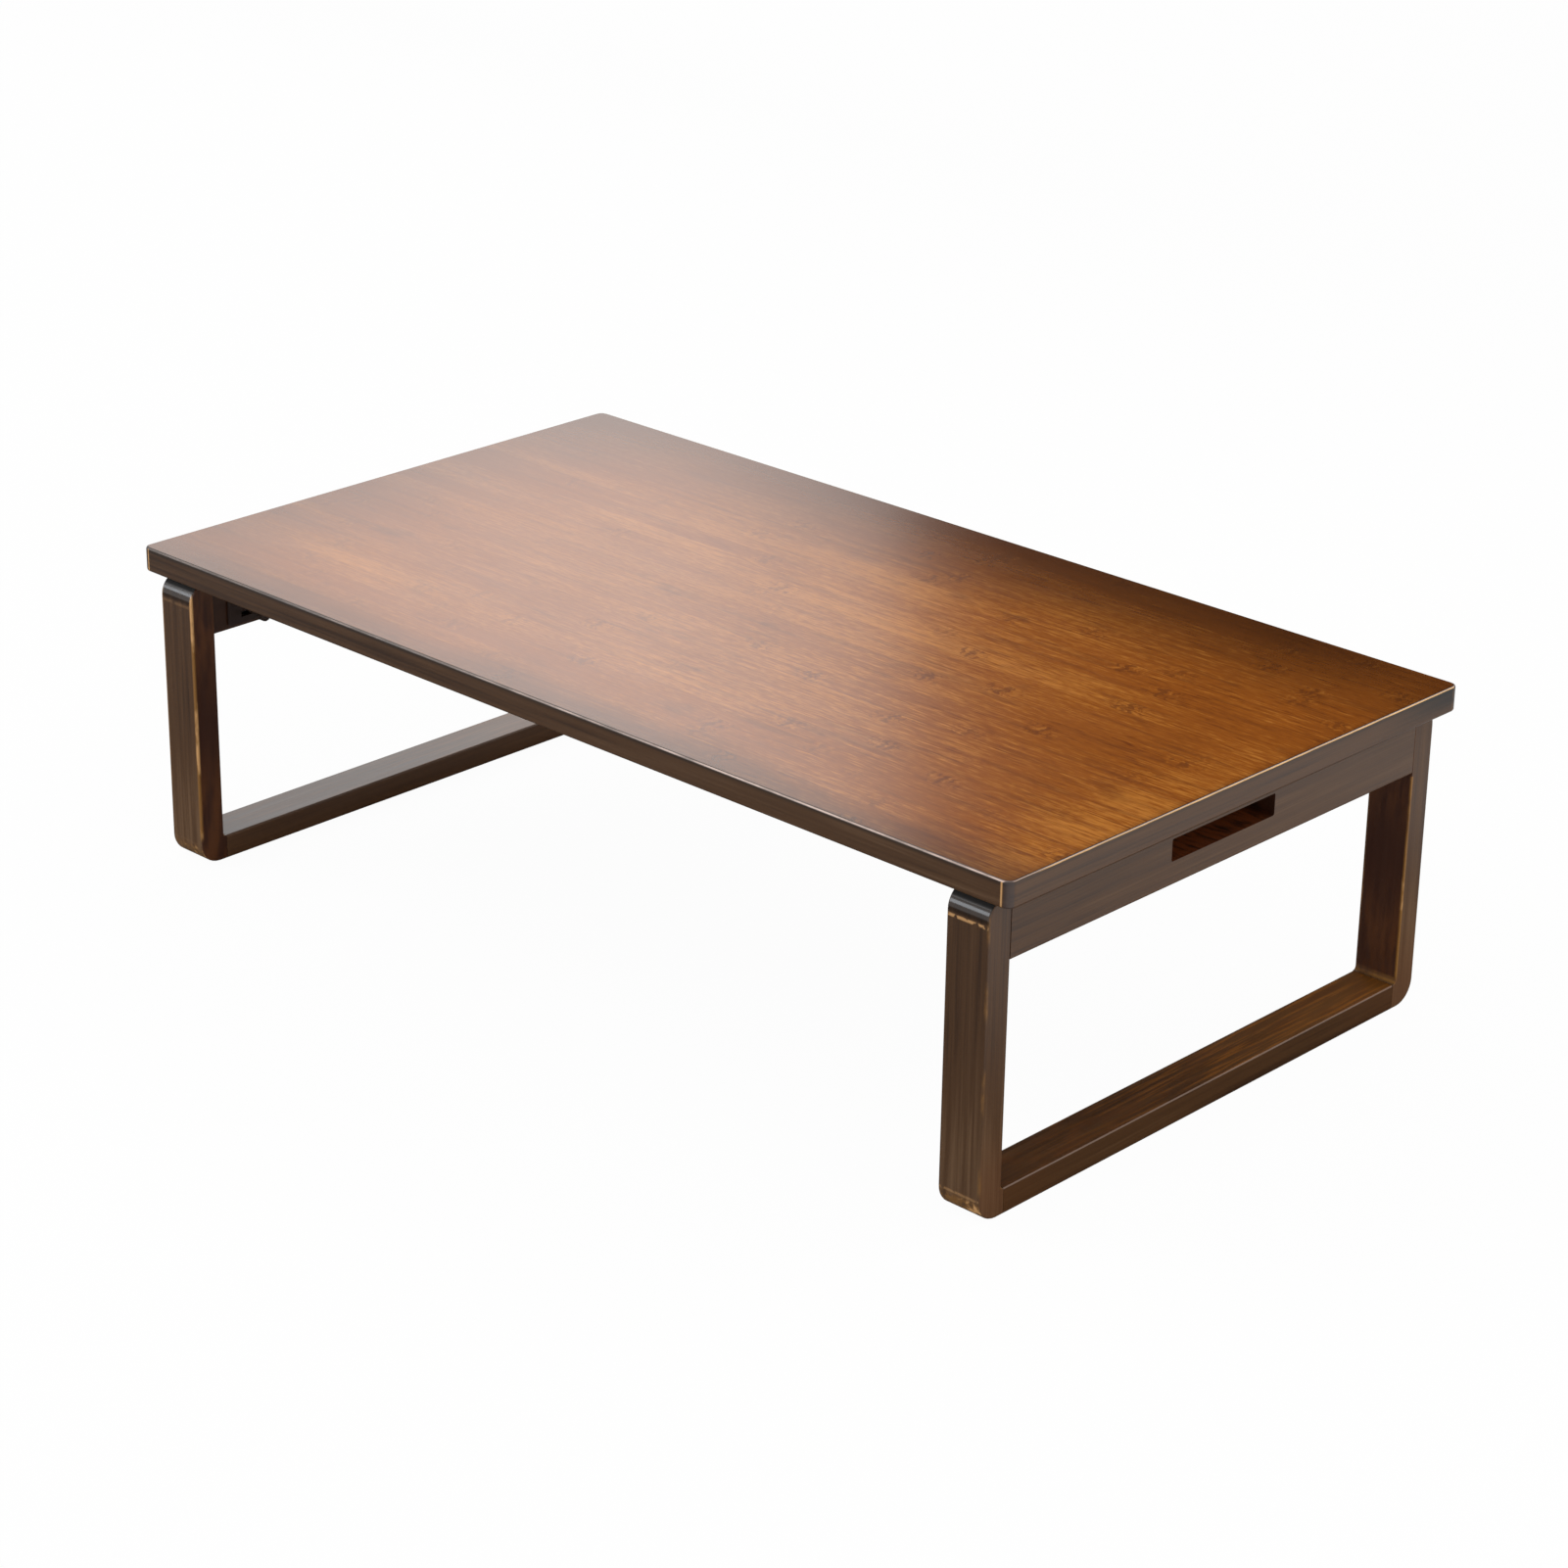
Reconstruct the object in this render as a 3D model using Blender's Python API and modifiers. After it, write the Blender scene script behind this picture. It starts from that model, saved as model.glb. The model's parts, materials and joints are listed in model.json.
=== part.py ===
# Folding floor table in stained bamboo. A laminated board sits on two fixed end aprons, each with a
# hand slot. At each end a frame of two legs and a foot rail swings inward about blind pivot pins in
# the apron's ends, until it lies level with the apron's lower edge. Hand-drawn bolts in the aprons
# enter the legs to hold a frame, standing or folded.
# Metres, +Z up, +X towards the right end, +Y towards the back. Origin on the floor, under the centre.
import math

import bmesh
import bpy
from mathutils import Matrix, Vector

MM = 0.001

# Board
TOP_LENGTH = 900 * MM
TOP_WIDTH = 500 * MM
TOP_THICKNESS = 20 * MM
TABLE_HEIGHT = 260 * MM
TOP_CORNER_RADIUS = 7 * MM
TOP_ARRIS = 1.8 * MM

# Leg frames
END_OVERHANG = 18 * MM
SIDE_INSET = 2.5 * MM
LEG_DEPTH = 37 * MM
LEG_WIDTH = 22 * MM
LEG_TOP_RADIUS = 16 * MM
LEG_FOOT_RADIUS = 18 * MM
RAIL_HEIGHT = 20 * MM
COVE_RADIUS = 3 * MM
WOOD_ARRIS = 1.5 * MM
JOINT_ARRIS_SHARE = 0.3

# Aprons and their hand slots
APRON_HEIGHT = 49 * MM
APRON_THICKNESS = 31 * MM
SLOT_LENGTH = 115 * MM
SLOT_HEIGHT = 17 * MM
SLOT_DROP = 14 * MM
SLOT_CORNER_RADIUS = 1.5 * MM

# Pivots
PIN_RADIUS = 4 * MM
PIN_IN_APRON = 19 * MM
PIN_IN_LEG = 13 * MM
PIN_CHAMFER = 0.8 * MM
BUSH_WALL = 1.7 * MM
BUSH_FLANGE_RADIUS = 8 * MM
BUSH_FLANGE_THICKNESS = 1.5 * MM

# Lock bolts
BOLT_RADIUS = 3.2 * MM
BOLT_NOSE = 1 * MM
BOLT_TRAVEL = 9 * MM
BOLT_DROP = 14 * MM
BOLT_COVER = 6.5 * MM
BOLT_TAIL = 13 * MM
KNOB_FROM_APRON_END = 42 * MM
KNOB_RADIUS = 4.5 * MM
KNOB_REACH = 20 * MM
KNOB_HEAD_LENGTH = 9 * MM
KNOB_SHOULDER = 1.5 * MM
KNOB_CROWN_HEIGHT = 2.2 * MM
KNOB_STEM_RADIUS = 2 * MM
PLATE_LENGTH = 40 * MM
PLATE_THICKNESS = 1.2 * MM
PLATE_BELOW_BOLT = 7 * MM
PLATE_ABOVE_BOLT = 15 * MM
PLATE_CORNER_RADIUS = 2 * MM
PLATE_SCREW_RADIUS = 1.4 * MM
PLATE_SCREW_HEAD_RADIUS = 2.8 * MM
PLATE_SCREW_FACE_RADIUS = 2.1 * MM
PLATE_SCREW_HEAD_HEIGHT = 1.4 * MM
PLATE_SCREW_LENGTH = 8 * MM
PLATE_SCREW_RISE = 10.5 * MM
PLATE_SCREW_OFFSET = 12 * MM

# Fixings in the wood
APRON_SCREW_PLACES = (85 * MM, 145 * MM)
APRON_SCREW_RADIUS = 2.1 * MM
APRON_SCREW_HEAD_RADIUS = 4.2 * MM
APRON_SCREW_HEAD_HEIGHT = 3 * MM
APRON_SCREW_SINK = 22 * MM
APRON_SCREW_BITE = 14 * MM
APRON_SCREW_POINT = 3 * MM
DOWEL_RADIUS = 4 * MM
DOWEL_BITE = 14 * MM
DOWEL_CHAMFER = 1 * MM
DOWEL_SPACING = 18 * MM

# Clearances
SEAT_GAP = 0.3 * MM
TURN_GAP = 0.5 * MM
TOP_CLEARANCE = 0.4 * MM
BORE_CLEARANCE = 0.3 * MM
KEEPER_CLEARANCE = 0.6 * MM
CUT_MARGIN = 3 * MM
TOUCHING = 0.01 * MM

# Facets
ROUND_STEPS = 20
SMALL_STEPS = 12
ARC_STEPS = 8
CORNER_STEPS = 4
CROWN_STEPS = 3
ARRIS_STEPS = 2
ARRIS_ANGLE = math.radians(40)
SMOOTH_ANGLE = math.radians(35)

# Places worked out from the sizes above. An end's own axes start at the middle of its pivot line,
# with +X out of the table.
UNDERSIDE = TABLE_HEIGHT - TOP_THICKNESS
PIVOT_DROP = APRON_HEIGHT / 2
PIVOT_Z = UNDERSIDE - PIVOT_DROP
PIVOT_X = TOP_LENGTH / 2 - END_OVERHANG - PIVOT_DROP
OUTER_X = PIVOT_DROP
LEG_INNER_X = OUTER_X - LEG_DEPTH
APRON_INNER_X = OUTER_X - APRON_THICKNESS
FLOOR_Z = -PIVOT_Z
LEG_TOP_Z = PIVOT_DROP - TOP_CLEARANCE
APRON_TOP_Z = PIVOT_DROP - SEAT_GAP
APRON_LOW_Z = -PIVOT_DROP
LEG_OUTER_Y = TOP_WIDTH / 2 - SIDE_INSET
LEG_INNER_Y = LEG_OUTER_Y - LEG_WIDTH
APRON_END_Y = LEG_INNER_Y - TURN_GAP
FOOT_JOINT_Y = LEG_INNER_Y - COVE_RADIUS
RAIL_END_Y = FOOT_JOINT_Y - SEAT_GAP
RAIL_MID_X = OUTER_X - LEG_DEPTH / 2
RAIL_MID_Z = FLOOR_Z + RAIL_HEIGHT / 2
BUSH_RADIUS = PIN_RADIUS + BORE_CLEARANCE + BUSH_WALL
BUSH_LENGTH = PIN_IN_LEG + SEAT_GAP
BOLT_X = APRON_INNER_X + BOLT_COVER
BOLT_Z = -BOLT_DROP
KNOB_Y = APRON_END_Y - KNOB_FROM_APRON_END
BOLT_TIP_Y = APRON_END_Y - SEAT_GAP
BOLT_TAIL_Y = KNOB_Y - BOLT_TAIL
PLATE_Y = KNOB_Y + BOLT_TRAVEL / 2
PLATE_FACE_X = APRON_INNER_X - SEAT_GAP - PLATE_THICKNESS
PLATE_SCREW_Z = BOLT_Z + PLATE_SCREW_RISE
APRON_SCREW_X = OUTER_X - APRON_THICKNESS / 2
APRON_SCREW_SEAT_Z = APRON_LOW_Z + APRON_SCREW_SINK

# Colour, roughness and metallic value of each finish
FINISHES = {
    "board": ((0.32, 0.14, 0.045), 0.38, 0.0),
    "frame": ((0.09, 0.055, 0.035), 0.42, 0.0),
    "dowel": ((0.42, 0.27, 0.13), 0.7, 0.0),
    "steel": ((0.42, 0.42, 0.43), 0.35, 1.0),
    "black_steel": ((0.03, 0.028, 0.027), 0.45, 0.6),
    "nylon": ((0.75, 0.73, 0.68), 0.5, 0.0),
}


def clear_scene():
    for obj in list(bpy.data.objects):
        bpy.data.objects.remove(obj, do_unlink=True)


def new_collection(name):
    collection = bpy.data.collections.new(name)
    bpy.context.scene.collection.children.link(collection)
    return collection


def new_empty(name, parent=None, location=(0, 0, 0), turn=0.0):
    empty = bpy.data.objects.new(name, None)
    parts.objects.link(empty)
    empty.parent = parent
    empty.location = location
    empty.rotation_euler.z = turn
    return empty


def set_finish(obj, finish):
    colour, roughness, metallic = FINISHES[finish]
    material = bpy.data.materials.new(obj.name)
    material.use_nodes = True
    shader = material.node_tree.nodes["Principled BSDF"]
    shader.inputs["Base Color"].default_value = (*colour, 1)
    shader.inputs["Roughness"].default_value = roughness
    shader.inputs["Metallic"].default_value = metallic
    obj.data.materials.append(material)


def to_mesh(name, bm):
    bmesh.ops.recalc_face_normals(bm, faces=bm.faces)
    mesh = bpy.data.meshes.new(name)
    bm.to_mesh(mesh)
    bm.free()
    return mesh


def add_part(name, bm, finish, parent=None):
    obj = bpy.data.objects.new(name, to_mesh(name, bm))
    parts.objects.link(obj)
    obj.parent = parent
    set_finish(obj, finish)
    return obj


def cut(obj, bm, name):
    cutter = bpy.data.objects.new(f"{obj.name}_{name}", to_mesh(name, bm))
    cutters.objects.link(cutter)
    cutter.parent = obj.parent
    cutter.hide_render = True
    cutter.display_type = "WIRE"
    boolean = obj.modifiers.new(name, "BOOLEAN")
    boolean.operation = "DIFFERENCE"
    boolean.solver = "EXACT"
    boolean.object = cutter


def ease_edges(obj, width):
    bevel = obj.modifiers.new("eased edges", "BEVEL")
    bevel.width = width
    bevel.segments = ARRIS_STEPS
    bevel.limit_method = "WEIGHT"


def mark_arrises(bm, zones=()):
    # Sharp edges are eased in full, but those inside a zone of distance from the middle line take its share.
    # An edge that crosses the middle line is in no zone.
    weight = bm.edges.layers.float.new("bevel_weight_edge")
    bmesh.ops.recalc_face_normals(bm, faces=bm.faces)
    for edge in bm.edges:
        if edge.calc_face_angle() < ARRIS_ANGLE:
            continue
        edge[weight] = 1.0
        first, second = (vert.co.y for vert in edge.verts)
        if first * second < 0:
            continue
        reach = [abs(first), abs(second)]
        for low, high, share in zones:
            if min(reach) > low - TOUCHING and max(reach) < high + TOUCHING:
                edge[weight] = share
    return bm


def smooth_round_faces(obj):
    obj.data.shade_smooth()
    obj.data.set_sharp_from_angle(angle=SMOOTH_ANGLE)


def arc(centre, radius, start, stop, steps=ARC_STEPS):
    angles = [math.radians(start + (stop - start) * i / steps) for i in range(steps + 1)]
    return [(centre[0] + radius * math.cos(a), centre[1] + radius * math.sin(a)) for a in angles]


def rounded_rectangle(low, high, radius):
    left, right = low[0] + radius, high[0] - radius
    bottom, top = low[1] + radius, high[1] - radius
    outline = []
    for quarter, centre in enumerate(((right, top), (left, top), (left, bottom), (right, bottom))):
        outline += arc(centre, radius, 90 * quarter, 90 * (quarter + 1), CORNER_STEPS)
    return outline


def prism(outline, depth):
    bm = bmesh.new()
    face = bm.faces.new([bm.verts.new(point) for point in outline])
    grown = bmesh.ops.extrude_face_region(bm, geom=[face])
    far_verts = [item for item in grown["geom"] if isinstance(item, bmesh.types.BMVert)]
    bmesh.ops.translate(bm, verts=far_verts, vec=depth)
    return bm


def box(low, high):
    bm = bmesh.new()
    low, high = Vector(low), Vector(high)
    size = high - low
    place = Matrix.Translation((low + high) / 2) @ Matrix.Diagonal((*size, 1))
    bmesh.ops.create_cube(bm, size=1, matrix=place)
    return bm


def cylinders(holes, steps):
    bm = bmesh.new()
    for radius, start, end in holes:
        start, end = Vector(start), Vector(end)
        along = end - start
        place = Matrix.Translation((start + end) / 2) @ along.to_track_quat("Z", "Y").to_matrix().to_4x4()
        bmesh.ops.create_cone(bm, cap_ends=True, segments=steps, radius1=radius, radius2=radius,
                              depth=along.length, matrix=place)
    return bm


def turned(name, profile, finish, parent, location, rotation, steps=ROUND_STEPS, ring=False):
    bm = bmesh.new()
    verts = [bm.verts.new((radius, 0, height)) for radius, height in profile]
    for first, second in zip(verts, verts[1:]):
        bm.edges.new((first, second))
    if ring:
        bm.edges.new((verts[-1], verts[0]))
    obj = add_part(name, bm, finish, parent)
    obj.location = location
    obj.rotation_euler = rotation
    screw = obj.modifiers.new("turned", "SCREW")
    screw.angle = math.tau
    screw.steps = steps
    screw.render_steps = steps
    screw.use_merge_vertices = True
    screw.merge_threshold = 0.01 * MM
    screw.use_normal_flip = True
    screw.use_smooth_shade = True
    return obj


def chamfered_rod(radius, length, chamfer):
    return [(0, 0), (radius - chamfer, 0), (radius, chamfer),
            (radius, length - chamfer), (radius - chamfer, length), (0, length)]


def along_y(side):
    return (-side * math.pi / 2, 0, 0)


# Board

def build_board():
    half_length, half_width = TOP_LENGTH / 2, TOP_WIDTH / 2
    outline = rounded_rectangle((-half_length, -half_width), (half_length, half_width), TOP_CORNER_RADIUS)
    bm = prism([(x, y, UNDERSIDE) for x, y in outline], (0, 0, TOP_THICKNESS))
    board = add_part("top_board", mark_arrises(bm), "board")
    ease_edges(board, TOP_ARRIS)
    pilot_top = UNDERSIDE + APRON_SCREW_BITE + BORE_CLEARANCE
    pilots = []
    for end in (-1, 1):
        for place in APRON_SCREW_PLACES:
            for side in (-1, 1):
                x = end * (PIVOT_X + APRON_SCREW_X)
                low = (x, side * place, UNDERSIDE - CUT_MARGIN)
                high = (x, side * place, pilot_top)
                pilots.append((APRON_SCREW_RADIUS + BORE_CLEARANCE, low, high))
    cut(board, cylinders(pilots, SMALL_STEPS), "screw_pilots")
    smooth_round_faces(board)


# Apron with its hand slot, bores and screws

def build_apron(end, parent):
    low = (APRON_INNER_X, -APRON_END_Y, APRON_LOW_Z)
    high = (OUTER_X, APRON_END_Y, APRON_TOP_Z)
    blank = mark_arrises(box(low, high), [(APRON_END_Y, APRON_END_Y, 0.0)])
    apron = add_part(f"{end}_apron", blank, "frame", parent)
    ease_edges(apron, WOOD_ARRIS)
    cut(apron, hand_slot_cutter(), "hand_slot")
    bores = []
    counterbores = []
    for side in (-1, 1):
        outside = side * (APRON_END_Y + CUT_MARGIN)
        pin_end = side * (APRON_END_Y - PIN_IN_APRON - SEAT_GAP)
        bores.append((PIN_RADIUS + BORE_CLEARANCE, (0, pin_end, 0), (0, outside, 0)))
        bolt_end = side * (BOLT_TAIL_Y - SEAT_GAP)
        bores.append((BOLT_RADIUS + BORE_CLEARANCE, (BOLT_X, bolt_end, BOLT_Z), (BOLT_X, outside, BOLT_Z)))
        for offset in (-PLATE_SCREW_OFFSET, PLATE_SCREW_OFFSET):
            y = side * PLATE_Y + offset
            deep = PLATE_FACE_X + PLATE_SCREW_LENGTH + BORE_CLEARANCE
            bores.append((PLATE_SCREW_RADIUS + BORE_CLEARANCE, (deep, y, PLATE_SCREW_Z),
                          (APRON_INNER_X - CUT_MARGIN, y, PLATE_SCREW_Z)))
        for place in APRON_SCREW_PLACES:
            x, y = APRON_SCREW_X, side * place
            bores.append((APRON_SCREW_RADIUS + BORE_CLEARANCE, (x, y, APRON_LOW_Z - CUT_MARGIN),
                          (x, y, APRON_TOP_Z + CUT_MARGIN)))
            counterbores.append((APRON_SCREW_HEAD_RADIUS + BORE_CLEARANCE, (x, y, APRON_LOW_Z - CUT_MARGIN),
                                 (x, y, APRON_SCREW_SEAT_Z)))
    cut(apron, cylinders(bores, SMALL_STEPS), "bores")
    cut(apron, cylinders(counterbores, SMALL_STEPS), "counterbores")
    for side in (-1, 1):
        cut(apron, stem_slot_cutter(side), f"stem_slot_{'front' if side < 0 else 'back'}")
    smooth_round_faces(apron)


def hand_slot_cutter():
    top = PIVOT_DROP - SLOT_DROP
    low = (-SLOT_LENGTH / 2, top - SLOT_HEIGHT)
    high = (SLOT_LENGTH / 2, top)
    outline = rounded_rectangle(low, high, SLOT_CORNER_RADIUS)
    start = APRON_INNER_X - CUT_MARGIN
    return prism([(start, y, z) for y, z in outline], (APRON_THICKNESS + 2 * CUT_MARGIN, 0, 0))


def stem_slot_cutter(side):
    half = KNOB_STEM_RADIUS + BORE_CLEARANCE
    ends = sorted((side * (KNOB_Y - half), side * (KNOB_Y + BOLT_TRAVEL + half)))
    low = (APRON_INNER_X - CUT_MARGIN, ends[0], BOLT_Z - half)
    high = (BOLT_X, ends[1], BOLT_Z + half)
    return box(low, high)


def build_apron_screws(end, parent):
    shank_end = APRON_TOP_Z + SEAT_GAP + APRON_SCREW_BITE - APRON_SCREW_SEAT_Z
    profile = [(0, -APRON_SCREW_HEAD_HEIGHT), (APRON_SCREW_HEAD_RADIUS, -APRON_SCREW_HEAD_HEIGHT),
               (APRON_SCREW_HEAD_RADIUS, -SEAT_GAP), (APRON_SCREW_RADIUS, -SEAT_GAP),
               (APRON_SCREW_RADIUS, shank_end - APRON_SCREW_POINT), (0, shank_end)]
    count = 0
    for side in (-1, 1):
        for place in APRON_SCREW_PLACES:
            count += 1
            location = (APRON_SCREW_X, side * place, APRON_SCREW_SEAT_Z)
            turned(f"{end}_apron_screw_{count}", profile, "steel", parent, location, (0, 0, 0), SMALL_STEPS)


# Leg frame

def leg_outline():
    # A cove carries the leg's inner face into the foot rail, so the two meet just beyond it.
    cove = (FOOT_JOINT_Y, FLOOR_Z + RAIL_HEIGHT + COVE_RADIUS)
    foot = (LEG_OUTER_Y - LEG_FOOT_RADIUS, FLOOR_Z + LEG_FOOT_RADIUS)
    top = (LEG_OUTER_Y - LEG_TOP_RADIUS, LEG_TOP_Z - LEG_TOP_RADIUS)
    return [(LEG_INNER_Y, LEG_TOP_Z), *arc(cove, COVE_RADIUS, 0, -90, CORNER_STEPS), (FOOT_JOINT_Y, FLOOR_Z),
            *arc(foot, LEG_FOOT_RADIUS, 270, 360), *arc(top, LEG_TOP_RADIUS, 0, 90)]


def swing_relief_cutter(side):
    # The inner half of a leg's top follows a circle about the pivot, so that it clears the board.
    reach = LEG_DEPTH - OUTER_X + CUT_MARGIN
    spread = 90 + math.degrees(math.asin(reach / LEG_TOP_Z))
    curve = arc((0, 0), LEG_TOP_Z, 90, spread)
    outline = [*curve, (curve[-1][0], LEG_TOP_Z + CUT_MARGIN), (0, LEG_TOP_Z + CUT_MARGIN)]
    start = side * (LEG_INNER_Y - CUT_MARGIN)
    return prism([(x, start, z) for x, z in outline], (0, side * (LEG_WIDTH + 2 * CUT_MARGIN), 0))


def dowel_places():
    return [RAIL_MID_X - DOWEL_SPACING / 2, RAIL_MID_X + DOWEL_SPACING / 2]


def build_leg(end, name, side, parent):
    outline = [(LEG_INNER_X, side * y, z) for y, z in leg_outline()]
    zones = [(FOOT_JOINT_Y, LEG_INNER_Y, JOINT_ARRIS_SHARE), (FOOT_JOINT_Y, FOOT_JOINT_Y, 0.0)]
    blank = mark_arrises(prism(outline, (LEG_DEPTH, 0, 0)), zones)
    leg = add_part(f"{end}_{name}_leg", blank, "frame", parent)
    ease_edges(leg, WOOD_ARRIS)
    cut(leg, swing_relief_cutter(side), "swing_relief")
    outside = side * (FOOT_JOINT_Y - CUT_MARGIN)
    bush_end = side * (LEG_INNER_Y + BUSH_LENGTH + SEAT_GAP)
    keeper_end = side * (LEG_INNER_Y + BOLT_TRAVEL + KEEPER_CLEARANCE)
    keeper_radius = BOLT_RADIUS + KEEPER_CLEARANCE
    holes = [(BUSH_RADIUS + BORE_CLEARANCE, (0, outside, 0), (0, bush_end, 0))]
    # One keeper hole meets the bolt when the frame stands, the other when it is folded.
    for x, z in ((BOLT_X, BOLT_Z), (-BOLT_Z, BOLT_X)):
        holes.append((keeper_radius, (x, outside, z), (x, keeper_end, z)))
    for x in dowel_places():
        dowel_end = side * (FOOT_JOINT_Y + DOWEL_BITE)
        holes.append((DOWEL_RADIUS + BORE_CLEARANCE, (x, outside, RAIL_MID_Z), (x, dowel_end, RAIL_MID_Z)))
    cut(leg, cylinders(holes, ROUND_STEPS), "bores")
    flange_end = side * (LEG_INNER_Y + BUSH_FLANGE_THICKNESS + SEAT_GAP)
    flange = [(BUSH_FLANGE_RADIUS + BORE_CLEARANCE, (0, outside, 0), (0, flange_end, 0))]
    cut(leg, cylinders(flange, ROUND_STEPS), "bush_flange")
    smooth_round_faces(leg)


def build_rail(end, parent):
    low = (LEG_INNER_X, -RAIL_END_Y, FLOOR_Z)
    high = (OUTER_X, RAIL_END_Y, FLOOR_Z + RAIL_HEIGHT)
    blank = mark_arrises(box(low, high), [(RAIL_END_Y, RAIL_END_Y, 0.0)])
    rail = add_part(f"{end}_foot_rail", blank, "frame", parent)
    ease_edges(rail, WOOD_ARRIS)
    holes = []
    for side in (-1, 1):
        for x in dowel_places():
            inner = side * (RAIL_END_Y - DOWEL_BITE)
            outer = side * (RAIL_END_Y + CUT_MARGIN)
            holes.append((DOWEL_RADIUS + BORE_CLEARANCE, (x, inner, RAIL_MID_Z), (x, outer, RAIL_MID_Z)))
    cut(rail, cylinders(holes, SMALL_STEPS), "dowel_holes")
    smooth_round_faces(rail)


def build_dowels(end, name, side, parent):
    length = 2 * DOWEL_BITE - SEAT_GAP
    profile = chamfered_rod(DOWEL_RADIUS, length, DOWEL_CHAMFER)
    start = side * (RAIL_END_Y - DOWEL_BITE + SEAT_GAP)
    for number, x in enumerate(dowel_places(), 1):
        turned(f"{end}_{name}_dowel_{number}", profile, "dowel", parent, (x, start, RAIL_MID_Z),
               along_y(side), SMALL_STEPS)


# Pivots

def build_pivot(end, name, side, fixed, swinging):
    length = PIN_IN_APRON + TURN_GAP + PIN_IN_LEG
    start = side * (APRON_END_Y - PIN_IN_APRON)
    turned(f"{end}_{name}_pivot_pin", chamfered_rod(PIN_RADIUS, length, PIN_CHAMFER), "steel", fixed,
           (0, start, 0), along_y(side))
    bore = PIN_RADIUS + BORE_CLEARANCE
    # A flanged sleeve let into the leg, flush with its face
    profile = [(bore, 0), (BUSH_FLANGE_RADIUS, 0), (BUSH_FLANGE_RADIUS, BUSH_FLANGE_THICKNESS),
               (BUSH_RADIUS, BUSH_FLANGE_THICKNESS), (BUSH_RADIUS, BUSH_LENGTH), (bore, BUSH_LENGTH)]
    turned(f"{end}_{name}_pivot_bush", profile, "nylon", swinging, (0, side * LEG_INNER_Y, 0),
           along_y(side), ring=True)


# Lock bolts

def build_lock(end, name, side, parent):
    length = BOLT_TIP_Y - BOLT_TAIL_Y
    rod = [(0, 0), (BOLT_RADIUS, 0), (BOLT_RADIUS, length - BOLT_NOSE),
           (BOLT_RADIUS - BOLT_NOSE, length), (0, length)]
    bolt = turned(f"{end}_{name}_lock_bolt", rod, "steel", parent, (BOLT_X, side * BOLT_TAIL_Y, BOLT_Z),
                  along_y(side))
    socket = [(KNOB_STEM_RADIUS + BORE_CLEARANCE, (BOLT_X, side * KNOB_Y, BOLT_Z),
               (BOLT_X - BOLT_RADIUS - CUT_MARGIN, side * KNOB_Y, BOLT_Z))]
    cut(bolt, cylinders(socket, SMALL_STEPS), "stem_socket")
    reach = BOLT_X - APRON_INNER_X + KNOB_REACH
    neck = reach - KNOB_HEAD_LENGTH
    stem = [(0, SEAT_GAP), (KNOB_STEM_RADIUS, SEAT_GAP), (KNOB_STEM_RADIUS, neck),
            (KNOB_RADIUS, neck + KNOB_SHOULDER)]
    quarter = [math.pi / 2 * step / CROWN_STEPS for step in range(CROWN_STEPS + 1)]
    crown = [(KNOB_RADIUS * math.cos(a), reach - KNOB_CROWN_HEIGHT * (1 - math.sin(a))) for a in quarter]
    turned(f"{end}_{name}_lock_knob", stem + crown, "black_steel", parent, (BOLT_X, side * KNOB_Y, BOLT_Z),
           (0, -math.pi / 2, 0), SMALL_STEPS)


def build_lock_plate(end, name, side, parent):
    low = (side * PLATE_Y - PLATE_LENGTH / 2, BOLT_Z - PLATE_BELOW_BOLT)
    high = (side * PLATE_Y + PLATE_LENGTH / 2, BOLT_Z + PLATE_ABOVE_BOLT)
    outline = rounded_rectangle(low, high, PLATE_CORNER_RADIUS)
    bm = prism([(PLATE_FACE_X, y, z) for y, z in outline], (PLATE_THICKNESS, 0, 0))
    plate = add_part(f"{end}_{name}_lock_plate", bm, "black_steel", parent)
    cut(plate, stem_slot_cutter(side), "stem_slot")
    screws = [side * PLATE_Y - PLATE_SCREW_OFFSET, side * PLATE_Y + PLATE_SCREW_OFFSET]
    holes = [(PLATE_SCREW_RADIUS + BORE_CLEARANCE, (PLATE_FACE_X - CUT_MARGIN, y, PLATE_SCREW_Z),
              (APRON_INNER_X + CUT_MARGIN, y, PLATE_SCREW_Z)) for y in screws]
    cut(plate, cylinders(holes, SMALL_STEPS), "screw_holes")
    profile = [(0, -PLATE_SCREW_LENGTH), (PLATE_SCREW_RADIUS, -PLATE_SCREW_LENGTH + PLATE_SCREW_RADIUS),
               (PLATE_SCREW_RADIUS, SEAT_GAP), (PLATE_SCREW_HEAD_RADIUS, SEAT_GAP),
               (PLATE_SCREW_FACE_RADIUS, PLATE_SCREW_HEAD_HEIGHT), (0, PLATE_SCREW_HEAD_HEIGHT)]
    for number, y in enumerate(screws, 1):
        turned(f"{end}_{name}_plate_screw_{number}", profile, "black_steel", parent,
               (PLATE_FACE_X, y, PLATE_SCREW_Z), (0, -math.pi / 2, 0), SMALL_STEPS)


def build_end(end, turn):
    # The left end is the right one turned half round, so its front is the other side.
    outward = math.cos(turn)
    fixed = new_empty(f"{end}_end", None, (outward * PIVOT_X, 0, PIVOT_Z), turn)
    swinging = new_empty(f"{end}_fold", fixed)
    build_apron(end, fixed)
    build_apron_screws(end, fixed)
    build_rail(end, swinging)
    for side in (-1, 1):
        name = "front" if side * outward < 0 else "back"
        build_leg(end, name, side, swinging)
        build_dowels(end, name, side, swinging)
        build_pivot(end, name, side, fixed, swinging)
        build_lock(end, name, side, fixed)
        build_lock_plate(end, name, side, fixed)


clear_scene()
parts = new_collection("folding_floor_table")
cutters = new_collection("cutters")
cutters.hide_render = True
build_board()
build_end("right", 0.0)
build_end("left", math.pi)
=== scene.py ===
import json
import math

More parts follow.
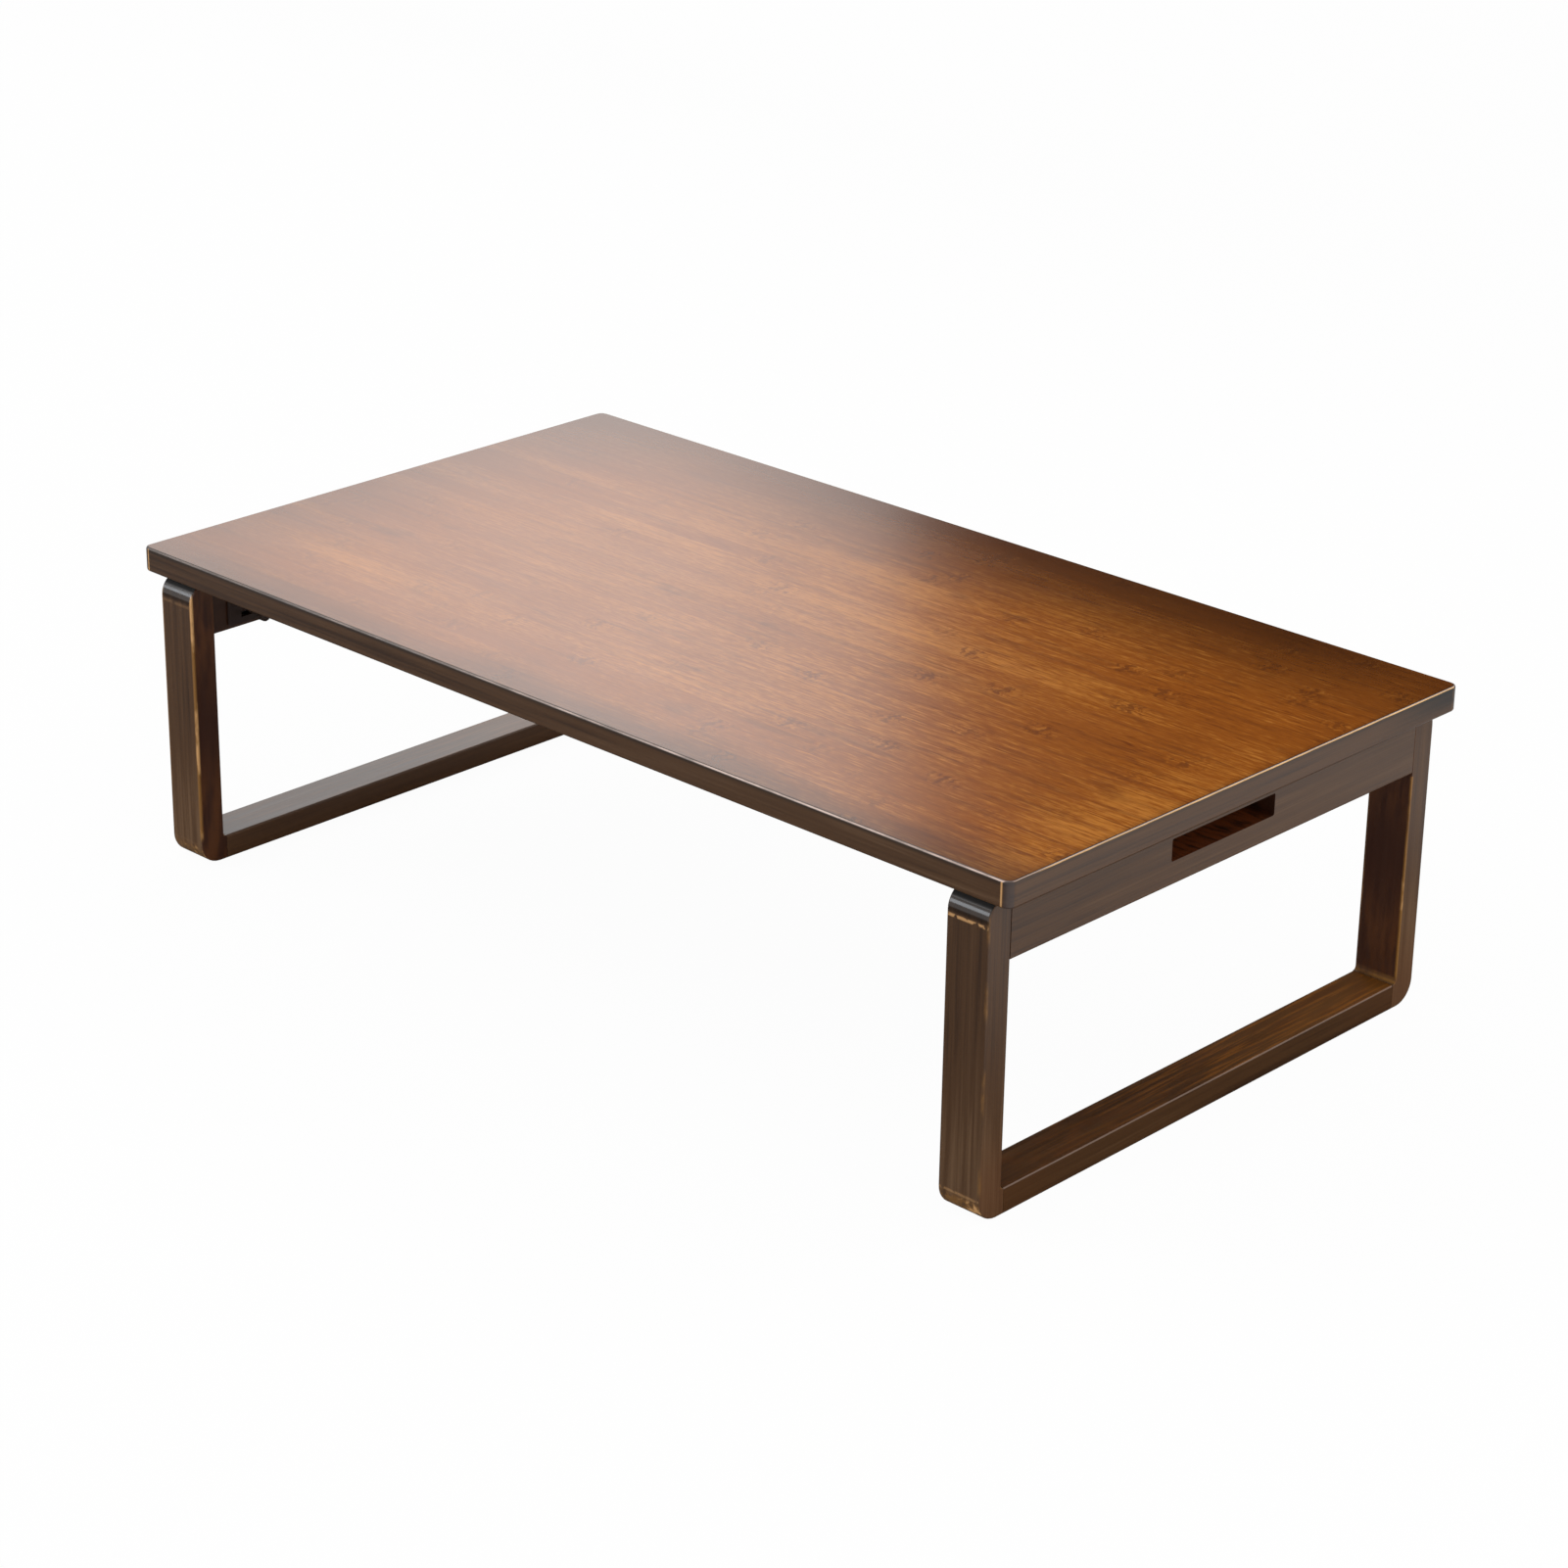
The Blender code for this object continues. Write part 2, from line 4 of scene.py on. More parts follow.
import bmesh
import bpy
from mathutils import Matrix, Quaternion, Vector


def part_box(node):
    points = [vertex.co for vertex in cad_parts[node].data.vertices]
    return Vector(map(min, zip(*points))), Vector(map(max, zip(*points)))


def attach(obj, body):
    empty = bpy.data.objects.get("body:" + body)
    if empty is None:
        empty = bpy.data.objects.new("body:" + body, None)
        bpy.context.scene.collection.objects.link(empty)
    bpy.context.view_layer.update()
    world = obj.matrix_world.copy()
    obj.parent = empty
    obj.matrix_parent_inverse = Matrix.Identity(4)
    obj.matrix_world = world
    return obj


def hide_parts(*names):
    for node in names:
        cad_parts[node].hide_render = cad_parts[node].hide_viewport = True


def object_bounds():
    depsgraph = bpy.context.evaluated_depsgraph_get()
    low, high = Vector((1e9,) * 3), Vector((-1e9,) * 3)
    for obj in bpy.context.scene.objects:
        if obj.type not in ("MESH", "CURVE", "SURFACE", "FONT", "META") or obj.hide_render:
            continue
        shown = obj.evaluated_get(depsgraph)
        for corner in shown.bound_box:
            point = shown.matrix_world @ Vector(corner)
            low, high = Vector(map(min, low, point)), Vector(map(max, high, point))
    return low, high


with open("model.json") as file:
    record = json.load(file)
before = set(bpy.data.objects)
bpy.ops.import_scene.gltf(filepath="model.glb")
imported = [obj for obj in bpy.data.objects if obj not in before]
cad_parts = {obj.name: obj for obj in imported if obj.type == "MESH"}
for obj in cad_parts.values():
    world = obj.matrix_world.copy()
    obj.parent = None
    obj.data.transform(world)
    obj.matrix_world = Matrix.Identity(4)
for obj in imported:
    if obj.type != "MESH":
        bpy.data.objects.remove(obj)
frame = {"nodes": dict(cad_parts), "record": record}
cadLow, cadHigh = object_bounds()
nodes = frame["nodes"]
bodies = frame["record"]["behaviour"]["bodies"]
bodyOf = {node: body for body, members in bodies.items() for node in members}
boardLow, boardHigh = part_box("top_board")
print("frame loaded,", len(nodes), "nodes")


class Wire:
    # a shader socket that can be used in sums, each sum adds its Math node
    def __init__(self, tree, socket=None):
        self.tree = tree
        self.socket = socket

    def add(self, kind, settings=None, sockets=None, out=0):
        # any node: its settings are set first, then the values or links of its sockets
        node = self.tree.nodes.new(kind)
        for key, value in (settings or {}).items():
            setattr(node, key, value)
        for key, value in (sockets or {}).items():
            if isinstance(value, Wire):
                self.tree.links.new(value.socket, node.inputs[key])
            else:
                node.inputs[key].default_value = value
        return Wire(self.tree, node.outputs[out])

    def out(self, name):
        return Wire(self.tree, self.socket.node.outputs[name])

    def calc(self, operation, first, second=0.0):
        return self.add("ShaderNodeMath", {"operation": operation}, {0: first, 1: second})

    def __add__(self, other):
        return self.calc("ADD", self, other)

    def __sub__(self, other):
        return self.calc("SUBTRACT", self, other)

    def __rsub__(self, other):
        return self.calc("SUBTRACT", other, self)

    def __mul__(self, other):
        return self.calc("MULTIPLY", self, other)

    def __truediv__(self, other):
        return self.calc("DIVIDE", self, other)

    def __pow__(self, other):
        return self.calc("POWER", self, other)

    def __abs__(self):
        return self.calc("ABSOLUTE", self)

    __radd__ = __add__
    __rmul__ = __mul__

    def floor(self):
        return self.calc("FLOOR", self)

    def most(self, other):
        return self.calc("MAXIMUM", self, other)

    def ease(self, low, high, first=0.0, last=1.0):
        # runs smoothly from first at low to last at high; low may be the larger
        settings = {"interpolation_type": "SMOOTHSTEP"}
        sockets = {"Value": self, "From Min": low, "From Max": high, "To Min": first, "To Max": last}
        return self.add("ShaderNodeMapRange", settings, sockets)


white, black = (1, 1, 1, 1), (0, 0, 0, 1)
noiseRoughness = 0.55


def tint(red, green, blue):
    # display values 0-255 as a linear colour, by the usual screen curve
    def linear(value):
        value = value / 255
        return value / 12.92 if value <= 0.04045 else ((value + 0.055) / 1.055) ** 2.4
    return (linear(red), linear(green), linear(blue), 1)


def mixColour(factor, first, second):
    # sockets 6 and 7 and output 2 are the Mix node's colours
    return factor.add("ShaderNodeMix", {"data_type": "RGBA"}, {0: factor, 6: first, 7: second}, 2)


def between(mask, first, last):
    # first where the mask is 0, last where it is 1
    return mask * (last - first) + first


def layer(start, along, across, kind, shift=0):
    # one noise of a finish: its size along and across, its seed and detail,
    # and the cut and share that make a mask of it
    sizeAlong, sizeAcross = kind["size"]
    place = {"X": along / sizeAlong, "Y": across / sizeAcross, "Z": shift + kind.get("seed", 0)}
    vector = start.add("ShaderNodeCombineXYZ", None, place)
    sockets = {"Vector": vector, "Scale": 1.0, "Detail": kind.get("detail", 2), "Roughness": noiseRoughness}
    value = start.add("ShaderNodeTexNoise", None, sockets)
    if "cut" in kind:
        value = value.ease(*kind["cut"])
    return value * kind["share"] if "share" in kind else value


def chance(value):
    # the same random number for the same whole number
    return value.add("ShaderNodeTexWhiteNoise", {"noise_dimensions": "1D"}, {"W": value})


def newMaterial(name):
    material = bpy.data.materials.new(name)
    material.use_nodes = True
    tree = material.node_tree
    return material, Wire(tree), tree.nodes["Principled BSDF"]


def coordinates(start, kind):
    # Object gives a point's place in the table at rest, Normal the way its face looks
    vector = start.add("ShaderNodeTexCoord", None, None, kind)
    x = start.add("ShaderNodeSeparateXYZ", None, {"Vector": vector}, "X")
    return x, x.out("Y"), x.out("Z")


def feed(shader, **sockets):
    names = {"colour": "Base Color", "roughness": "Roughness", "normal": "Normal"}
    for key, value in sockets.items():
        if isinstance(value, Wire):
            value.tree.links.new(value.socket, shader.inputs[names[key]])
        else:
            shader.inputs[names[key]].default_value = value


def bump(height, depth, strength):
    return height.add("ShaderNodeBump", None, {"Height": height, "Strength": strength, "Distance": depth})


# In the dictionaries a range is (low, high) or (low, high, value at low, value at high), lengths are metres
# from the table's middle or from the edge named, and relief is a bump's depth and strength.

# board: bamboo strips side by side, stained, sprayed darker towards the edges, lacquered
board = {
    "deep": tint(106, 49, 2),
    "amber": tint(150, 81, 15),
    "golden": tint(194, 122, 44),
    "nodeDark": tint(104, 52, 12),
    "burnt": tint(56, 27, 3),
    "topFacing": 0.99,
    "lacquer": 0.2,
    "smear": {"size": (0.09, 0.03), "seed": 90, "detail": 3, "share": 0.06},
    "relief": (0.0002, 0.15),
    "fineRelief": 0.6,                      # the rest is the broad fibres' share
    # strips, and the bamboo's own nodes along them
    "stripWidth": 0.0195,
    "stripShift": 0.37,                     # of a strip's width
    "nodeSpacing": 0.19,
    "nodeStray": 0.6,                       # of that spacing
    "nodeStrength": (0.0, 0.6),
    "nodeReach": (0.5, 0.42),               # of a strip's width, marks stop short of the joints
    "crowd": {"size": (0.13, 0.09), "seed": 33, "cut": (0.32, 0.5)},
    "crowdRise": (-0.3, 0.2, 0.35, 1.0),    # fewer marks on the left
    "crook": {"size": (0.06, 0.007)},
    "crookDepth": 0.016,
    "haloCrook": 0.5,
    "haloWidth": (0.024, 0.004),
    "markWidth": (0.0028, 0.0006),
    "markBreaks": {"size": (0.014, 0.011), "seed": 3, "cut": (0.22, 0.38)},
    "markShare": 0.66,
    "wrinkle": {"size": (0.0042, 0.01), "seed": 17, "detail": 1},
    "wrinkleDark": (0.5, 0.64),
    "wrinklePale": (0.42, 0.3, 0.0, 0.5),
    "seam": (0.46, 0.5, 0.0, 0.1),
    # fibres, each strip has its own
    "rowShift": 5.1,
    "streakShift": 1.3,
    "twist": {"size": (0.007, 0.006), "seed": 7},
    "twistDepth": 0.007,
    "broad": {"size": (0.14, 0.0045)},
    "fine": {"size": (0.02, 0.0011), "seed": 9},
    "fleck": {"size": (0.009, 0.002), "seed": 18, "detail": 1},
    "lines": {"size": (0.026, 0.0018), "seed": 30, "detail": 1},
    "lined": {"size": (0.1, 0.03), "seed": 61, "cut": (0.42, 0.6)},
    "linedRise": (-0.05, 0.25),
    "darkFibre": {"size": (0.06, 0.0022), "seed": 40, "detail": 1, "cut": (0.56, 0.72), "share": 0.25},
    "darkStreak": {"size": (0.11, 0.008), "seed": 83, "cut": (0.52, 0.7), "share": 0.4},
    "clearRise": (-0.3, 0.25, 0.53, 0.95),  # the fibres are clearer on the right
    # tone, from deep at 0 over amber to golden at 1
    "broadTone": 0.5,
    "fineTone": 0.65,
    "fleckTone": 0.6,
    "rowTone": 0.15,
    "rowStep": 3.7,
    "stretch": {"size": (0.16, 1.0), "seed": 27, "detail": 1, "share": 0.3},
    "cloud": {"size": (0.22, 0.07), "seed": 21, "share": 0.36},
    "dull": {"size": (0.06, 0.035), "seed": 71, "detail": 3, "cut": (0.6, 0.72), "share": 0.3},
    "toneLift": 0.16,
    "amberTone": (0.0, 0.52),
    "goldenTone": (0.5, 1.0),
    "paleReach": (0.42, 0.22),
    "paleRise": (0.0, 1.0, 0.0, 0.14),
    "deepX": (0.15, 0.45),
    "deepY": (-0.2, 0.05, 0.0, 0.12),
    "thinX": (0.36, 0.43),
    "thinY": (0.12, -0.04, 0.0, 0.22),
    # sprayed edges, by the distance from each edge
    "sprayShare": 0.85,
    "sprayDrift": {"size": (0.16, 0.16), "seed": 40},
    "driftDepth": 0.05,
    "backSpray": (0.16, -0.02),
    "backRise": (-0.4, 0.1, 0.65, 1.0),
    "backFall": (0.3, 0.45, 0.0, 0.3),
    "frontSpray": (0.055, -0.015, 0.0, 0.82),
    "leftSpray": (0.16, -0.14),
    "rightSpray": (0.04, -0.05),
    "rightRise": (-0.05, 0.2, 0.0, 0.45),
    "rightEdge": (0.009, 0.002, 0.0, 0.3),
}


def nodeMarks(start, x, y, row, offMiddle):
    # each strip has its own phase, a mark is a crooked broken line across the strip
    # the numbers in the draws only keep them apart
    run = x / board["nodeSpacing"] + chance(row + 53.5) * 7
    cell = run.floor()
    stray = (chance(row * 17 + cell) - 0.5) * board["nodeStray"]
    away = (run - cell - 0.5 + stray) * board["nodeSpacing"]
    crook = (layer(start, x, y, board["crook"], row) - 0.5) * board["crookDepth"]
    crowd = layer(start, x, y, board["crowd"]) * x.ease(*board["crowdRise"])
    strong = chance(cell * 31 + row * 7).ease(*board["nodeStrength"]) * crowd
    strong = strong * offMiddle.ease(*board["nodeReach"])
    mark = abs(away + crook).ease(*board["markWidth"]) * layer(start, x, y, board["markBreaks"]) * strong
    halo = abs(away + crook * board["haloCrook"]).ease(*board["haloWidth"]) * strong
    return mark, halo, crook


def bambooTop(start, x, y):
    across = y / board["stripWidth"] + board["stripShift"]
    row = across.floor()
    offMiddle = abs(across - row - 0.5)     # 0.5 at the joints between strips
    mark, halo, crook = nodeMarks(start, x, y, row, offMiddle)
    # fibres bend near the nodes, and lie in clear parallel lines in some places
    bent = y + halo * (layer(start, x, y, board["twist"]) - 0.5) * board["twistDepth"]
    shift = row * board["rowShift"]
    broad, fine, fleck, lines, darkFibre = [layer(start, x, bent, board[name], shift)
                                            for name in ("broad", "fine", "fleck", "lines", "darkFibre")]
    darkStreak = layer(start, x, bent, board["darkStreak"], row * board["streakShift"])
    fibres = (broad - 0.5) * board["broadTone"] + (fine - 0.5) * board["fineTone"]
    fibres = fibres + (fleck - 0.5) * board["fleckTone"]
    clear = x.ease(*board["clearRise"])
    lined = layer(start, x, y, board["lined"]) * x.ease(*board["linedRise"])
    tone = chance(row) * board["rowTone"] + layer(start, x, y, board["cloud"]) + board["toneLift"]
    tone = tone + layer(start, x, row * board["rowStep"], board["stretch"])
    tone = tone + fibres * clear + (lines - 0.5) * lined
    # paler in the middle, deeper towards the back on the right,
    # and the stain is thin along the front half of the right end
    reachX, reachY = board["paleReach"]
    tone = tone + (1 - (x / reachX) ** 2 - (y / reachY) ** 2).ease(*board["paleRise"])
    tone = tone - x.ease(*board["deepX"]) * y.ease(*board["deepY"])
    tone = tone + x.ease(*board["thinX"]) * y.ease(*board["thinY"])
    colour = mixColour(tone.ease(*board["amberTone"]), board["deep"], board["amber"])
    colour = mixColour(tone.ease(*board["goldenTone"]), colour, board["golden"])
    wrinkle = layer(start, x + crook, y, board["wrinkle"])
    colour = mixColour(halo * wrinkle.ease(*board["wrinklePale"]), colour, board["golden"])
    dark = layer(start, x, y, board["dull"]) + (darkFibre + darkStreak) * clear
    colour = mixColour(dark, colour, board["nodeDark"])
    marked = mark.most(halo * wrinkle.ease(*board["wrinkleDark"])) * board["markShare"]
    colour = mixColour(marked + offMiddle.ease(*board["seam"]), colour, board["nodeDark"])
    return colour, between(board["fineRelief"], broad, fine)


def sprayedEdges(start, x, y):
    drift = (layer(start, x, y, board["sprayDrift"]) - 0.5) * board["driftDepth"]
    back = (boardHigh.y - y + drift).ease(*board["backSpray"])
    back = back * (x.ease(*board["backRise"]) - x.ease(*board["backFall"]))
    front = (y - boardLow.y + drift).ease(*board["frontSpray"])
    left = (x - boardLow.x + drift).ease(*board["leftSpray"])
    right = (boardHigh.x - x + drift).ease(*board["rightSpray"]) * y.ease(*board["rightRise"])
    right = right.most((boardHigh.x - x).ease(*board["rightEdge"]))
    return 1 - (1 - back) * (1 - front) * (1 - left) * (1 - right)


def boardTop():
    material, start, shader = newMaterial("lacquered bamboo board")
    x, y = coordinates(start, "Object")[:2]
    colour, relief = bambooTop(start, x, y)
    colour = mixColour(sprayedEdges(start, x, y) * board["sprayShare"], colour, board["burnt"])
    roughness = layer(start, x, y, board["smear"]) + board["lacquer"]
    feed(shader, colour=colour, roughness=roughness, normal=bump(relief, *board["relief"]))
    return material


# sides of the board, aprons, legs and rails: the same bamboo, stained nearly black-brown
stain = {
    "dark": tint(46, 25, 8),
    "mid": tint(74, 47, 22),
    "pale": tint(104, 76, 50),
    "bare": tint(206, 156, 100),
    "thin": tint(136, 93, 38),              # where the stain is rubbed but not through
    "warm": tint(112, 70, 28),
    # scuffs with a painted highlight, for the rails' arrises
    "scuffedSheen": tint(172, 150, 138),
    "inner": tint(56, 21, 5),               # painted shade: darker and redder on faces towards the middle of the table, where shade falls
    "slot": tint(96, 46, 18),
    "streak": tint(146, 88, 24),
    "blotch": tint(92, 50, 16),
    "shadow": tint(15, 10, 7),              # painted shade: near black, for places in shade under the board, in the hand slots and on the board's sides
    "grain": {"size": (0.09, 0.0016), "detail": 3},
    "grainTone": 0.7,
    "haze": {"size": (0.2, 0.006), "seed": 5},
    "hazeTone": 0.9,
    "toneDrop": 0.55,
    "midTone": (0.0, 0.5),
    "paleTone": (0.45, 1.0),
    "gloss": 0.3,
    "hazeGloss": 0.12,
    "specular": 0.5,
    "relief": (0.0002, 0.3),
    "innerFacing": (0.4, 0.8),
    "flatFacing": (0.8, 0.95),
    "edgeCore": 0.25,                       # share of a rubbed line's width that is rubbed through
}


def stainTone(start, along, across, seed, lift):
    grain = layer(start, along, across, stain["grain"], seed)
    haze = layer(start, along, across, stain["haze"], seed)
    tone = grain * stain["grainTone"] + haze * stain["hazeTone"] - stain["toneDrop"] + lift
    colour = mixColour(tone.ease(*stain["midTone"]), stain["dark"], stain["mid"])
    colour = mixColour(tone.ease(*stain["paleTone"]), colour, stain["pale"])
    return colour, grain, haze


def finishStain(shader, colour, relief, haze, dull=None, specular=stain["specular"]):
    roughness = haze * stain["hazeGloss"] + stain["gloss"]
    if dull is not None:
        roughness = roughness + dull
    feed(shader, colour=colour, roughness=roughness, normal=bump(relief, *stain["relief"]))
    shader.inputs["Specular IOR Level"].default_value = specular


def inward(normal, side):
    # 1 on faces that look towards the middle of the table
    return (normal * (-1 if side in ("right", "back") else 1)).ease(*stain["innerFacing"])


def nearEdge(distance, width):
    # 1 at an edge, 0 at width from it
    return distance.ease(width, width * stain["edgeCore"])


# sides of the board: rubbed to bare bamboo along the top of the ends, brightened there by a painted
# highlight, and a pale painted highlight along the front
edging = {
    "seed": 3,
    # the end's line is bare bamboo with a painted highlight, the front's line is a painted highlight
    "endLine": tint(255, 200, 124),
    "frontHighlightLine": tint(226, 198, 184),
    "dullLine": tint(92, 78, 72),           # at the end's front corner
    "turn": tint(54, 47, 48),               # on the corners' rounding
    "cornerRadius": 0.007,
    "endFacing": (0.6, 0.8),
    # painted light: the ends are made paler than the front, for the stronger light from the side
    "endLightLift": 0.12,
    "frontLift": (-0.4, 0.35, -0.18, 0.12),  # the front is paler towards the right
    "topShade": (0.0045, 0.002),             # painted shade close under the top
    "topShadeFront": 0.6,
    "topShadeEnd": 0.4,
    "farShade": (0.14, 0.25),                # painted shade on the back part of an end
    "farShadeRise": (0.0, 0.012, 0.0, 0.85),
    "turnFacing": (0.1, 0.35),
    "turnShare": 0.6,
    "turnDull": (0.0, 0.2, 0.0, 0.3),
    "patches": {"size": (0.03, 0.03), "seed": 14, "detail": 4},
    "uprightWidth": 0.0011,
    "uprightFront": (0.32, 0.5),
    "uprightEnd": (0.5, 0.6),
    "uprightFade": (0.2, 0.1, 0.25, 0.85),
    "lineFacing": (0.55, 0.95),
    "lineStop": (0.2, 0.08),                # the line stops at the corners' rounding
    "lineBreaks": (0.35, 0.65, 0.3, 0.9),
    "lineEnd": 0.1,
    "lineRise": (-0.35, 0.3, 0.2, 1.0),
    "dullReach": (0.055, 0.02),
    "dullRough": 0.4,
}


def boardSides():
    material, start, shader = newMaterial("stained board edge")
    x, y, z = coordinates(start, "Object")
    nx, ny, nz = coordinates(start, "Normal")
    onEnd = abs(nx).ease(*edging["endFacing"])
    along = between(onEnd, x, y)
    lift = x.ease(*edging["frontLift"]) * (1 - onEnd) + edging["endLightLift"]
    colour, grain, haze = stainTone(start, along, z, edging["seed"], lift)
    # painted shade: a dark band close under the top arris
    under = (boardHigh.z - z).ease(*edging["topShade"])
    under = under * between(onEnd, edging["topShadeFront"], edging["topShadeEnd"])
    # painted shade on the back part of the ends
    far = onEnd * y.ease(*edging["farShade"]) * (z - boardLow.z).ease(*edging["farShadeRise"])
    colour = mixColour(under + far, colour, stain["shadow"])
    turn = abs(nx * ny).ease(*edging["turnFacing"])
    colour = mixColour(turn * edging["turnShare"], colour, edging["turn"])
    # the corners' rounding starts and ends in a rubbed upright line
    patches = layer(start, along, z, edging["patches"])
    fromX = abs(abs(x) - (boardHigh.x - edging["cornerRadius"]))
    fromY = abs(abs(y) - (boardHigh.y - edging["cornerRadius"]))
    rubbed = nearEdge(fromX, edging["uprightWidth"]) * abs(ny).ease(*stain["flatFacing"])
    rubbed = rubbed * patches.ease(*edging["uprightFront"])
    rubbedEnd = nearEdge(fromY, edging["uprightWidth"]) * abs(nx).ease(*stain["flatFacing"])
    rubbed = rubbed.most(rubbedEnd * patches.ease(*edging["uprightEnd"]))
    colour = mixColour(rubbed * y.ease(*edging["uprightFade"]), colour, stain["bare"])
    # the arris under the top, where a face looks half up, carries a painted highlight, on the ends over
    # rubbed bare bamboo
    halfUp = nz * (1 - nz * nz).most(0.0) ** 0.5 * 2
    line = halfUp.ease(*edging["lineFacing"]) * abs(nx * ny).ease(*edging["lineStop"])
    lineColour = mixColour(onEnd, edging["frontHighlightLine"], edging["endLine"])
    dull = onEnd * (y - boardLow.y).ease(*edging["dullReach"])
    lineColour = mixColour(dull, lineColour, edging["dullLine"])
    share = patches.ease(*edging["lineBreaks"]) + onEnd * edging["lineEnd"]
    share = share * onEnd.most(x.ease(*edging["lineRise"]))
    colour = mixColour(line * share, colour, lineColour)
    dullness = line * dull * edging["dullRough"] + turn * y.ease(*edging["turnDull"])
    finishStain(shader, colour, grain, haze, dullness)
    return material


# aprons: paler towards the back and below
apron = {
    "seed": {"right": 10, "left": 11},
    "backLift": (-0.25, 0.05, 0.0, 0.14),
    "lowLift": (0.23, 0.195, 0.04, 0.1),
    "innerShadeShare": 0.6,
}


def stainedApron(end):
    material, start, shader = newMaterial(end + " apron stain")
    x, y, z = coordinates(start, "Object")
    nx = coordinates(start, "Normal")[0]
    lift = y.ease(*apron["backLift"]) + z.ease(*apron["lowLift"])
    colour, grain, haze = stainTone(start, y, x + z, apron["seed"][end], lift)
    # painted shade on faces towards the middle of the table
    colour = mixColour(inward(nx, end) * apron["innerShadeShare"], colour, stain["inner"])
    finishStain(shader, colour, grain, haze)
    return material


# hand slots: sawn and stained, not lacquered, their colour darkened with painted shade inside the recess,
# darkest at the far end
handSlot = {
    "seed": {"right": 20, "left": 21},
    "sawn": {"size": (0.004, 0.02)},
    "sawnTone": (0.2, 0.6),
    "farShade": (0.045, 0.057, 0.0, 0.7),
    "roughness": (0.7, 0.9),
    "relief": (0.0002, 0.4),
    "specular": 0.1,
    "halfLength": 0.0585,
    "height": (0.208, 0.227),
    "sideFacing": 0.5,
}


def slotWood(end):
    material, start, shader = newMaterial(end + " slot stain")
    x, y, z = coordinates(start, "Object")
    sawn = layer(start, y, x + z, handSlot["sawn"], handSlot["seed"][end])
    # painted shade: the sawn texture runs between near black and the slot's stain
    colour = mixColour(sawn.ease(*handSlot["sawnTone"]), stain["shadow"], stain["slot"])
    colour = mixColour(y.ease(*handSlot["farShade"]), colour, stain["shadow"])
    roughness = between(sawn, *handSlot["roughness"])
    feed(shader, colour=colour, roughness=roughness, normal=bump(sawn, *handSlot["relief"]))
    shader.inputs["Specular IOR Level"].default_value = handSlot["specular"]
    return material


# foot rails: the upper face is rubbed warm and streaked towards the back, the outer arris is pale with
# scuffs and a painted highlight
rail = {
    "upperFacing": (0.6, 0.9),
    "outerFacing": (0.0, 0.3),
    "arrisFacing": (0.4, 0.9),
    "innerLift": 0.02,
    "outerLift": 0.13,
    "frontDrop": (0.1, -0.2, 0.0, 0.12),
    "upperWarm": (-0.05, 0.22, 0.12, 0.87),
    "innerWarm": 0.3,
    "mottle": {"size": (0.03, 0.012), "seed": 8, "detail": 4, "cut": (0.42, 0.66)},
    "streak": {"size": (0.07, 0.0028), "seed": 7, "detail": 3, "cut": (0.46, 0.66)},
    "streakRise": (-0.2, 0.1),
    "endBlotch": (0.14, 0.215, 0.0, 0.15),
    "patches": {"size": (0.05, 0.02), "seed": 11, "detail": 4, "cut": (0.3, 0.6, 0.8, 1.0)},
    "innerScuffSheen": 0.06,
    "outerScuffSheen": 0.36,
    "arrisDull": 0.25,
    "right": {"seed": 30, "outward": 1, "mottle": 0.42, "streaks": (0.1, 0.7), "specular": 0.24},
    "left": {"seed": 31, "outward": -1, "mottle": 0.084, "streaks": (0.1, 0.22), "specular": 0.8},
}


def stainedRail(end):
    own, seed = rail[end], rail[end]["seed"]
    material, start, shader = newMaterial(end + " rail stain")
    x, y, z = coordinates(start, "Object")
    nx, nz = coordinates(start, "Normal")[::2]
    upper = nz.ease(*rail["upperFacing"])
    outer = (nx * own["outward"]).ease(*rail["outerFacing"])
    lift = between(outer, rail["innerLift"], rail["outerLift"]) - upper * y.ease(*rail["frontDrop"])
    colour, grain, haze = stainTone(start, y, x + z, seed, lift)
    colour = mixColour(upper * y.ease(*rail["upperWarm"]), colour, stain["warm"])
    mottle = layer(start, y, x, rail["mottle"], seed) * own["mottle"]
    colour = mixColour(upper * mottle, colour, stain["blotch"])
    streak = layer(start, y, x, rail["streak"], seed) * y.ease(*rail["streakRise"], *own["streaks"])
    colour = mixColour(upper * streak, colour, stain["streak"])
    colour = mixColour(inward(nx, end) * rail["innerWarm"], colour, stain["warm"])
    colour = mixColour(outer * abs(y).ease(*rail["endBlotch"]), colour, stain["blotch"])
    arris = (abs(nx) * nz * 2).ease(*rail["arrisFacing"])     # where a face looks half up
    # scuffs and a painted highlight along the arrises, strongest on the outer one
    scuffAndSheen = arris * between(outer, rail["innerScuffSheen"], rail["outerScuffSheen"])
    scuffAndSheen = scuffAndSheen * layer(start, y, x + z, rail["patches"], seed)
    colour = mixColour(scuffAndSheen, colour, stain["scuffedSheen"])
    finishStain(shader, colour, grain, haze, arris * rail["arrisDull"], own["specular"])
    return material


